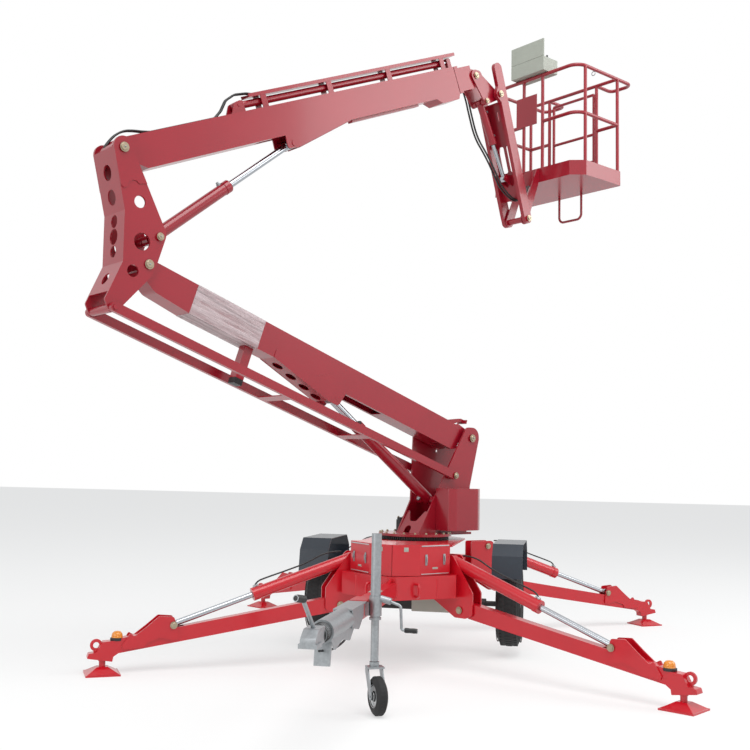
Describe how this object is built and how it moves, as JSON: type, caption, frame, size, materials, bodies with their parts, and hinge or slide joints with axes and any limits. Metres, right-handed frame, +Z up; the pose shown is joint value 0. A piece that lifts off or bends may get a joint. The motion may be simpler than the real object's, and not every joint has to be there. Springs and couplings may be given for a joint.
{
  "type": "towable articulating boom lift",
  "caption": "Towable articulating boom lift on folding outriggers: slewing turret, levelled two-part boom with telescope, jib and railed work cage.",
  "frame": {"origin": "on the ground at the middle of the whole machine's length and width", "axes": "+Z up, -Y towards the tow coupling, +X to the right of someone who faces +Y"},
  "size_m": [4.8534, 6.7135, 6.294],
  "materials": {
    "red_paint": "gloss",
    "tyre": "matte",
    "rim": "satin",
    "galvanised": "satin",
    "dark_steel": "satin",
    "box_grey": "satin",
    "dark_plastic": "matte",
    "film": "gloss",
    "chrome": "polished",
    "rubber": "matte"
  },
  "bodies": {
    "chassis": {"chassis_frame": "red_paint", "housing_left": "red_paint", "housing_right": "red_paint", "coupling": "galvanised", "jockey_tube": "galvanised", "slew_ring": "dark_steel", "axle": "dark_steel", "fenders": "dark_plastic", "pump_box": "box_grey"},
    "wheel_right": {"tyre_right": "tyre", "rim_right": "rim"},
    "wheel_left": {"tyre_left": "tyre", "rim_left": "rim"},
    "jockey_leg": {"jockey_leg": "galvanised"},
    "jockey_fork": {"jockey_fork": "galvanised"},
    "jockey_wheel": {"jockey_wheel": "tyre"},
    "turret": {"turret": "red_paint", "turret_cover": "red_paint", "slew_motor": "dark_steel"},
    "lower_boom": {"lower_boom": "red_paint", "film_wrap": "film", "rest_pad": "rubber"},
    "lower_lift_barrel": {"lower_lift_barrel": "red_paint"},
    "lower_lift_rod": {"lower_lift_rod": "chrome"},
    "tie_bars": {"tie_bars": "red_paint"},
    "knuckle": {"knuckle": "red_paint"},
    "upper_boom": {"upper_boom": "red_paint", "extension_cylinder": "red_paint", "boom_hoses": "rubber"},
    "upper_lift_barrel": {"upper_lift_barrel": "red_paint"},
    "upper_lift_rod": {"upper_lift_rod": "chrome"},
    "inner_boom": {"inner_boom": "red_paint", "extension_rod": "chrome"},
    "boom_head": {"boom_head": "red_paint"},
    "jib": {"jib": "red_paint"},
    "jib_lift_barrel": {"jib_lift_barrel": "red_paint"},
    "jib_lift_rod": {"jib_lift_rod": "chrome"},
    "cage": {"cage_floor": "red_paint", "cage_rails": "red_paint", "control_box": "box_grey"},
    "cage_gate": {"cage_gate": "red_paint"},
    "control_lid": {"control_lid": "box_grey"},
    "outrigger_front_right": {"arm_front_right": "red_paint", "foot_front_right": "red_paint"},
    "outrigger_front_right_barrel": {"barrel_front_right": "red_paint"},
    "outrigger_front_right_rod": {"rod_front_right": "chrome"},
    "outrigger_front_left": {"arm_front_left": "red_paint", "foot_front_left": "red_paint"},
    "outrigger_front_left_barrel": {"barrel_front_left": "red_paint"},
    "outrigger_front_left_rod": {"rod_front_left": "chrome"},
    "outrigger_rear_right": {"arm_rear_right": "red_paint", "foot_rear_right": "red_paint"},
    "outrigger_rear_right_barrel": {"barrel_rear_right": "red_paint"},
    "outrigger_rear_right_rod": {"rod_rear_right": "chrome"},
    "outrigger_rear_left": {"arm_rear_left": "red_paint", "foot_rear_left": "red_paint"},
    "outrigger_rear_left_barrel": {"barrel_rear_left": "red_paint"},
    "outrigger_rear_left_rod": {"rod_rear_left": "chrome"}
  },
  "joints": [
    {"name": "wheel_right", "type": "hinge", "parent": "chassis", "child": "wheel_right", "pos_m": [0.881, 0.711, 0.458], "axis": [1, 0, 0], "continuous": true},
    {"name": "wheel_left", "type": "hinge", "parent": "chassis", "child": "wheel_left", "pos_m": [-0.881, 0.711, 0.458], "axis": [1, 0, 0], "continuous": true},
    {"name": "jockey_lift", "type": "slide", "parent": "chassis", "child": "jockey_leg", "axis": [0, 0, -1], "range_m": [-0.26, 0]},
    {"name": "jockey_swivel", "type": "hinge", "parent": "jockey_leg", "child": "jockey_fork", "pos_m": [0.112, -1.869, 0.33], "axis": [0, 0, 1], "continuous": true},
    {"name": "jockey_spin", "type": "hinge", "parent": "jockey_fork", "child": "jockey_wheel", "pos_m": [0.1545, -1.94261, 0.132], "axis": [-0.866, -0.5, 0], "continuous": true},
    {"name": "outrigger_front_right", "type": "hinge", "parent": "chassis", "child": "outrigger_front_right", "pos_m": [0.55, -0.153, 0.505], "axis": [0.5138, 0.8579, 0], "range_deg": [-72, 0]},
    {"name": "outrigger_front_right_barrel", "type": "hinge", "parent": "chassis", "child": "outrigger_front_right_barrel", "pos_m": [0.43504, -0.08414, 0.905], "axis": [0.5138, 0.8579, 0], "range_deg": [-72.31, 1]},
    {"name": "outrigger_front_right_rod", "type": "slide", "parent": "outrigger_front_right_barrel", "child": "outrigger_front_right_rod", "axis": [0.8119, -0.4863, -0.323], "range_m": [-0.4987, 0.005]},
    {"name": "outrigger_front_left", "type": "hinge", "parent": "chassis", "child": "outrigger_front_left", "pos_m": [-0.55, -0.153, 0.505], "axis": [0.5138, -0.8579, 0], "range_deg": [-72, 0]},
    {"name": "outrigger_front_left_barrel", "type": "hinge", "parent": "chassis", "child": "outrigger_front_left_barrel", "pos_m": [-0.43504, -0.08414, 0.905], "axis": [0.5138, -0.8579, 0], "range_deg": [-72.31, 1]},
    {"name": "outrigger_front_left_rod", "type": "slide", "parent": "outrigger_front_left_barrel", "child": "outrigger_front_left_rod", "axis": [-0.8119, -0.4863, -0.323], "range_m": [-0.4987, 0.005]},
    {"name": "outrigger_rear_right", "type": "hinge", "parent": "chassis", "child": "outrigger_rear_right", "pos_m": [0.646, 2.011, 0.505], "axis": [-0.5878, 0.809, 0], "range_deg": [-72, 0]},
    {"name": "outrigger_rear_right_barrel", "type": "hinge", "parent": "chassis", "child": "outrigger_rear_right_barrel", "pos_m": [0.53759, 1.93224, 0.905], "axis": [-0.5878, 0.809, 0], "range_deg": [-72.31, 1]},
    {"name": "outrigger_rear_right_rod", "type": "slide", "parent": "outrigger_rear_right_barrel", "child": "outrigger_rear_right_rod", "axis": [0.7657, 0.5563, -0.323], "range_m": [-0.4987, 0.005]},
    {"name": "outrigger_rear_left", "type": "hinge", "parent": "chassis", "child": "outrigger_rear_left", "pos_m": [-0.646, 2.011, 0.505], "axis": [-0.5878, -0.809, 0], "range_deg": [-72, 0]},
    {"name": "outrigger_rear_left_barrel", "type": "hinge", "parent": "chassis", "child": "outrigger_rear_left_barrel", "pos_m": [-0.53759, 1.93224, 0.905], "axis": [-0.5878, -0.809, 0], "range_deg": [-72.31, 1]},
    {"name": "outrigger_rear_left_rod", "type": "slide", "parent": "outrigger_rear_left_barrel", "child": "outrigger_rear_left_rod", "axis": [-0.7657, 0.5563, -0.323], "range_m": [-0.4987, 0.005]},
    {"name": "slew", "type": "hinge", "parent": "chassis", "child": "turret", "pos_m": [0, 0.611, 1.072], "axis": [0, 0, 1], "range_deg": [-141.84, 217.16]},
    {"name": "lower_boom", "type": "hinge", "parent": "turret", "child": "lower_boom", "pos_m": [0.36577, 1.07648, 1.994], "axis": [-0.7863, 0.6179, 0], "range_deg": [-20.56, 45]},
    {"name": "knuckle", "type": "hinge", "parent": "lower_boom", "child": "knuckle", "pos_m": [-1.82454, -1.71091, 3.177], "axis": [-0.7863, 0.6179, 0], "range_deg": [-46, 21.56]},
    {"name": "tie_bars", "type": "hinge", "parent": "turret", "child": "tie_bars", "pos_m": [0.19215, 0.85554, 1.632], "axis": [-0.7863, 0.6179, 0], "range_deg": [-21.56, 46]},
    {"name": "lower_lift_barrel", "type": "hinge", "parent": "turret", "child": "lower_lift_barrel", "pos_m": [0.10071, 0.73916, 1.397], "axis": [-0.7863, 0.6179, 0], "range_deg": [-19.67, 41.87]},
    {"name": "lower_lift_rod", "type": "slide", "parent": "lower_lift_barrel", "child": "lower_lift_rod", "axis": [-0.4981, -0.6339, 0.5917], "range_m": [-0.2648, 0.5737]},
    {"name": "upper_boom", "type": "hinge", "parent": "knuckle", "child": "upper_boom", "pos_m": [-1.97839, -1.9067, 4.03], "axis": [0.7863, -0.6179, 0], "range_deg": [-28.5, 40]},
    {"name": "telescope", "type": "slide", "parent": "upper_boom", "child": "inner_boom", "axis": [0.5661, 0.7204, 0.4007], "range_m": [0, 2]},
    {"name": "boom_head", "type": "hinge", "parent": "inner_boom", "child": "boom_head", "pos_m": [0.40161, 1.12209, 5.662], "axis": [0.7863, -0.6179, 0], "range_deg": [-41, 29.5]},
    {"name": "upper_lift_barrel", "type": "hinge", "parent": "knuckle", "child": "upper_lift_barrel", "pos_m": [-1.77573, -1.64879, 3.402], "axis": [0.7863, -0.6179, 0], "range_deg": [-26.2, 36.37]},
    {"name": "upper_lift_rod", "type": "slide", "parent": "upper_lift_barrel", "child": "upper_lift_rod", "axis": [0.4794, 0.6101, 0.6308], "range_m": [-0.3404, 0.4757]},
    {"name": "jib", "type": "hinge", "parent": "boom_head", "child": "jib", "pos_m": [0.58388, 1.35404, 5.53], "axis": [0.7863, -0.6179, 0], "range_deg": [0, 90]},
    {"name": "cage_level", "type": "hinge", "parent": "jib", "child": "cage", "pos_m": [0.85882, 1.70394, 4.31], "axis": [0.7863, -0.6179, 0], "range_deg": [-91, 1]},
    {"name": "jib_lift_barrel", "type": "hinge", "parent": "boom_head", "child": "jib_lift_barrel", "pos_m": [0.5017, 1.24947, 5.44], "axis": [0.7863, -0.6179, 0], "range_deg": [-1, 84.1]},
    {"name": "jib_lift_rod", "type": "slide", "parent": "jib_lift_barrel", "child": "jib_lift_rod", "axis": [0.2872, 0.3655, -0.8854], "range_m": [-0.005, 0.2105]},
    {"name": "cage_gate", "type": "hinge", "parent": "cage", "child": "cage_gate", "pos_m": [1.22254, 2.61998, 5.4], "axis": [0, 0, 1], "range_deg": [-80, 0]},
    {"name": "control_lid", "type": "hinge", "parent": "cage", "child": "control_lid", "pos_m": [0.86535, 1.92265, 6.109], "axis": [0.7863, -0.6179, 0], "range_deg": [-88, 0]}
  ],
  "couplings": [
    {"joint": "outrigger_front_right_barrel", "follows": "outrigger_front_right", "ratio": 0.9904},
    {"joint": "outrigger_front_right_rod", "follows": "outrigger_front_right", "m_per_rad": 0.3929},
    {"joint": "outrigger_front_left_barrel", "follows": "outrigger_front_left", "ratio": 0.9904},
    {"joint": "outrigger_front_left_rod", "follows": "outrigger_front_left", "m_per_rad": 0.3929},
    {"joint": "outrigger_rear_right_barrel", "follows": "outrigger_rear_right", "ratio": 0.9904},
    {"joint": "outrigger_rear_right_rod", "follows": "outrigger_rear_right", "m_per_rad": 0.3929},
    {"joint": "outrigger_rear_left_barrel", "follows": "outrigger_rear_left", "ratio": 0.9904},
    {"joint": "outrigger_rear_left_rod", "follows": "outrigger_rear_left", "m_per_rad": 0.3929},
    {"joint": "knuckle", "follows": "lower_boom", "ratio": -1},
    {"joint": "tie_bars", "follows": "lower_boom", "ratio": 1},
    {"joint": "lower_lift_barrel", "follows": "lower_boom", "ratio": 0.9082},
    {"joint": "lower_lift_rod", "follows": "lower_boom", "m_per_rad": 0.7241},
    {"joint": "boom_head", "follows": "upper_boom", "ratio": -1},
    {"joint": "upper_lift_barrel", "follows": "upper_boom", "ratio": 0.88433},
    {"joint": "upper_lift_rod", "follows": "upper_boom", "m_per_rad": 0.67427},
    {"joint": "cage_level", "follows": "jib", "ratio": -1},
    {"joint": "jib_lift_barrel", "follows": "jib", "ratio": 0.9233},
    {"joint": "jib_lift_rod", "follows": "jib", "m_per_rad": 0.1308}
  ]
}
